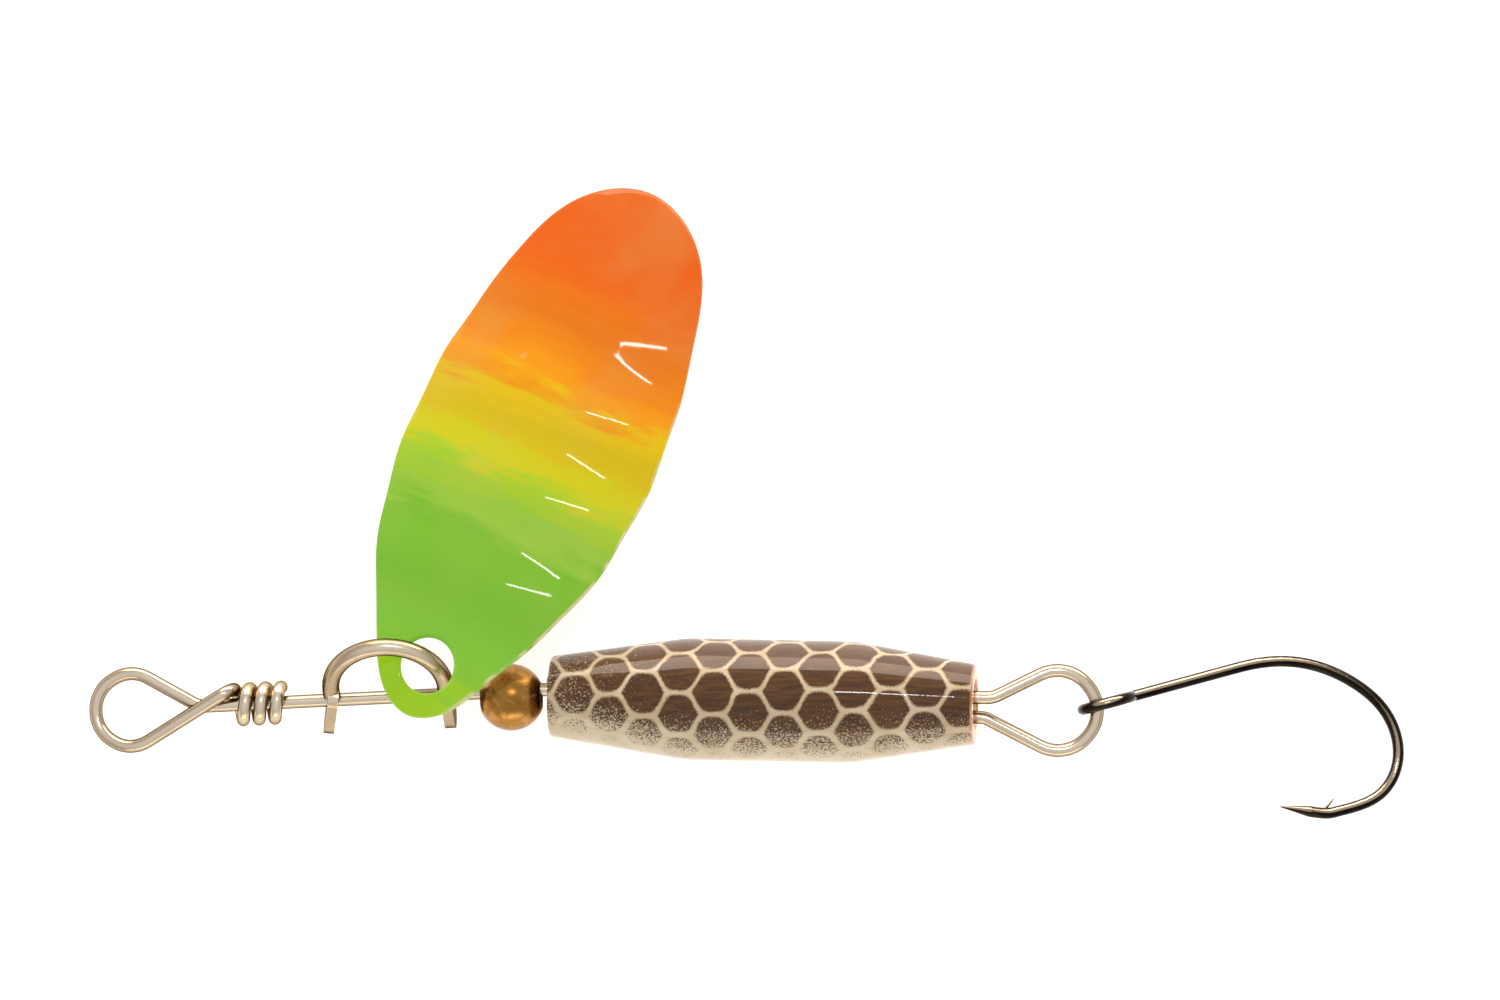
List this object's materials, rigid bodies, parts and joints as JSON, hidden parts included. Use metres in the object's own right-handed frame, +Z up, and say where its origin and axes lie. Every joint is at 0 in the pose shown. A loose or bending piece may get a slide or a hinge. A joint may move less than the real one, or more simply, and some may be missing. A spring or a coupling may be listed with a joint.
{
  "type": "inline spinner",
  "caption": "Inline spinner lure: painted rippled blade on a clevis, brass bead, scale-patterned tapered body on a looped wire shaft, single hook.",
  "frame": {"origin": "middle of the bounding box in plan, on the table that the lure lies on", "axes": "+X along the lure from the line eye to the hook, +Y to the side the blade points, +Z up from the table"},
  "size_m": [0.0784, 0.0376, 0.0089],
  "materials": {
    "steel_wire": "polished",
    "blade_paint": "gloss",
    "aged_brass": "polished",
    "scale_body": "gloss",
    "black_nickel": "polished"
  },
  "bodies": {
    "wire": {"wire_shaft": "steel_wire", "wire_line_eye": "steel_wire", "wire_eye_wraps": "steel_wire", "wire_tail_loop": "steel_wire", "wire_tag": "steel_wire"},
    "clevis": {"clevis": "steel_wire"},
    "blade": {"blade": "blade_paint"},
    "bead": {"bead": "aged_brass"},
    "body": {"body": "scale_body"},
    "hook": {"hook": "black_nickel"}
  },
  "joints": [
    {"name": "clevis_spin", "type": "hinge", "parent": "wire", "child": "clevis", "pos_m": [-0.02126, -0.0116, 0.003], "axis": [0.9938, 0.0492, 0.0994], "continuous": true},
    {"name": "blade_swing", "type": "hinge", "parent": "clevis", "child": "blade", "pos_m": [-0.02134, -0.01102, 0.00356], "axis": [-0.0357, -0.7067, 0.7067], "range_deg": [-2, 78]},
    {"name": "bead_spin", "type": "hinge", "parent": "wire", "child": "bead", "pos_m": [-0.01401, -0.0116, 0.00362], "axis": [0.9938, 0.0492, 0.0994], "continuous": true},
    {"name": "body_spin", "type": "hinge", "parent": "wire", "child": "body", "pos_m": [-0.01166, -0.01154, 0.00351], "axis": [0.9949, -0.0184, 0.0995], "continuous": true},
    {"name": "hook_swing", "type": "hinge", "parent": "wire", "child": "hook", "pos_m": [0.02081, -0.01209, 0.00607], "axis": [-0.2588, 0.9659, 0], "range_deg": [-140, 80]}
  ]
}
